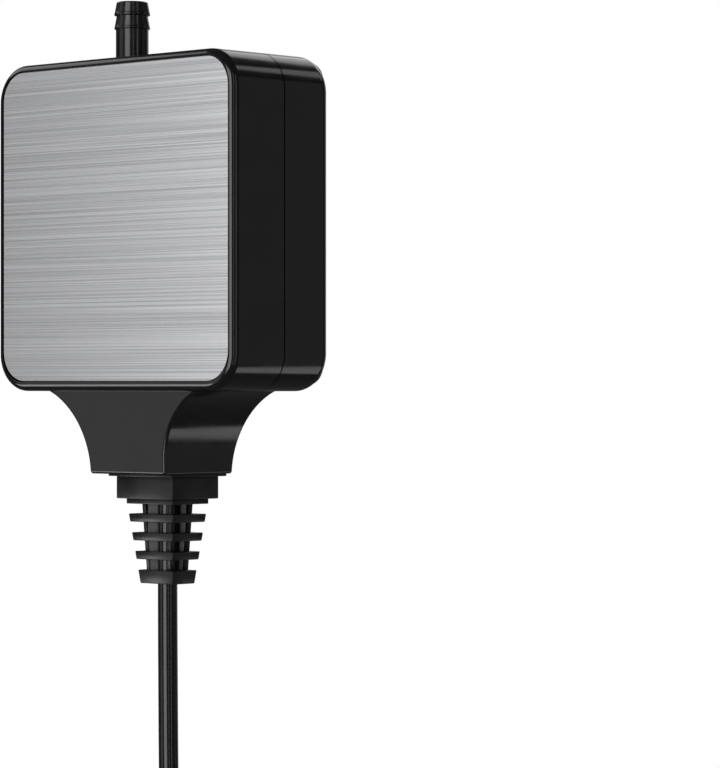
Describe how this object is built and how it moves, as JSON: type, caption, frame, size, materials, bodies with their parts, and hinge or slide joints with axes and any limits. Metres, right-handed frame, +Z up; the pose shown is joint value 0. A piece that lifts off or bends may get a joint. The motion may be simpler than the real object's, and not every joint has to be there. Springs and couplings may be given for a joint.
{
  "type": "aquarium air pump",
  "caption": "Small flat mains air pump with a brushed face plate, a barbed air outlet on top, a flared neck and a finned strain relief with its power cord below.",
  "frame": {"origin": "centre of the flat rear face of the housing, which a suction cup or a sticky pad holds on glass or a wall", "axes": "+Z up towards the air outlet, -Y out of the face plate, +X to the right seen from the front"},
  "size_m": [0.0514, 0.0208, 0.255],
  "materials": {
    "housing_black": "high gloss",
    "brushed_plate": "brushed along its width",
    "adhesive_film": "matt film",
    "screw_steel": "zinc plated",
    "relief_rubber": "satin moulded",
    "cord_jacket": "soft satin",
    "nozzle_black": "gloss",
    "seal_rubber": "matt",
    "clear_silicone": "translucent silicone",
    "grey_silicone": "silicone",
    "pump_plastic": "natural moulding",
    "disc_brass": "bright sheet",
    "ceramic": "silvered ceramic",
    "board_green": "solder mask",
    "resistor_tan": "lacquered",
    "fuse_grey": "lacquered",
    "lead_black": "insulation",
    "lead_red": "insulation",
    "felt": "pressed felt",
    "tie_black": "matt",
    "plug_black": "satin moulded",
    "blade_nickel": "nickel plated"
  },
  "bodies": {
    "housing": {"front_shell": "housing_black", "rear_shell": "housing_black", "face_plate": "brushed_plate", "plate_adhesive": "adhesive_film", "housing_screws": "screw_steel", "inlet_filter": "felt", "outlet_nozzle": "nozzle_black", "nozzle_seal": "seal_rubber", "outlet_duct": "clear_silicone", "pump_chamber": "pump_plastic", "front_surround": "grey_silicone", "front_clamp": "pump_plastic", "rear_surround": "grey_silicone", "rear_clamp": "pump_plastic", "clamp_screws": "screw_steel", "isolation_pads": "seal_rubber", "valve_gasket": "grey_silicone", "valve_cover": "pump_plastic", "valve_cover_screws": "screw_steel", "circuit_board": "board_green", "resistors": "resistor_tan", "fuse": "fuse_grey", "supply_leads": "lead_black", "front_disc_lead": "lead_red", "rear_disc_lead": "lead_black", "strain_relief": "relief_rubber", "cord_clamp": "pump_plastic", "cord_clamp_screws": "screw_steel", "power_cord": "cord_jacket", "cord_tail": "cord_jacket", "cord_hank": "cord_jacket", "cord_tie": "tie_black", "plug_body": "plug_black", "plug_blades": "blade_nickel"},
    "front_diaphragm": {"front_disc": "disc_brass", "front_ceramic": "ceramic"},
    "rear_diaphragm": {"rear_disc": "disc_brass", "rear_ceramic": "ceramic"},
    "outlet_valve": {"outlet_flap": "clear_silicone"},
    "inlet_valve": {"inlet_flap": "clear_silicone"}
  },
  "joints": [
    {"name": "front_disc_stroke", "type": "slide", "parent": "housing", "child": "front_diaphragm", "axis": [0, -1, 0], "range_m": [-0.0003, 0.0003], "stiffness_N_per_m": 100, "deforming": ["front_surround", "front_disc_lead"]},
    {"name": "rear_disc_stroke", "type": "slide", "parent": "housing", "child": "rear_diaphragm", "axis": [0, -1, 0], "range_m": [-0.0003, 0.0003], "stiffness_N_per_m": 100, "deforming": ["rear_surround", "rear_disc_lead"]},
    {"name": "outlet_flap_lift", "type": "hinge", "parent": "housing", "child": "outlet_valve", "pos_m": [-0.0094, -0.0101, 0.014], "axis": [0, -1, 0], "range_deg": [0, 20], "stiffness_Nm_per_rad": 0.00002, "springref_deg": -1.15},
    {"name": "inlet_flap_drop", "type": "hinge", "parent": "housing", "child": "inlet_valve", "pos_m": [0.0094, -0.0101, 0.0144], "axis": [0, -1, 0], "range_deg": [0, 20], "stiffness_Nm_per_rad": 0.00002, "springref_deg": -1.15}
  ],
  "couplings": [
    {"joint": "rear_disc_stroke", "follows": "front_disc_stroke", "ratio": -1}
  ]
}
